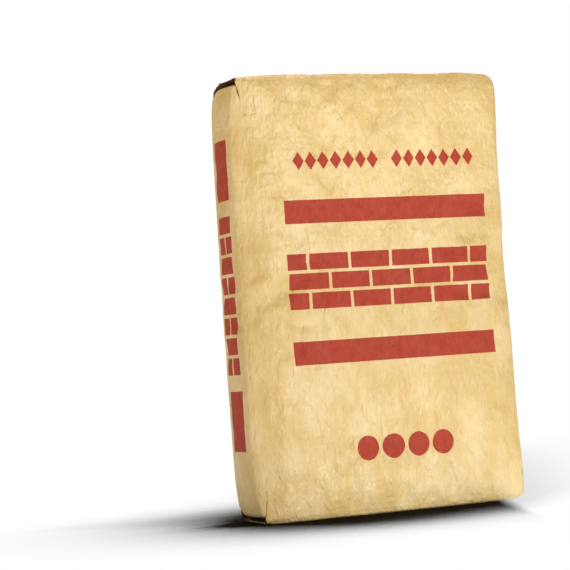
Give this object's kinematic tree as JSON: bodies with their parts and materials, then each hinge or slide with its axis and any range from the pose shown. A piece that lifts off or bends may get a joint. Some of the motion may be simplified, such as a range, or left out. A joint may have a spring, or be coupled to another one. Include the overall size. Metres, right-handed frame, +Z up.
{
  "type": "cement bag",
  "caption": "Filled paper cement bag standing on its end: softly bulging panels, folded flat ends closed with glued paper strips.",
  "frame": {"origin": "on the floor under the middle of the standing bag", "axes": "+Z up along the bag's length, X across its width, front printed panel at -Y, side panels at -X and +X"},
  "size_m": [0.3678, 0.1084, 0.5512],
  "materials": {
    "kraft_paper": "matt printed kraft paper with soft creases",
    "strip_paper": "matt kraft paper band",
    "cement_powder": "dull packed powder"
  },
  "bodies": {
    "root": {"paper_sack": "kraft_paper", "cement_fill": "cement_powder", "top_closing_strip": "strip_paper", "bottom_closing_strip": "strip_paper"}
  },
  "joints": []
}
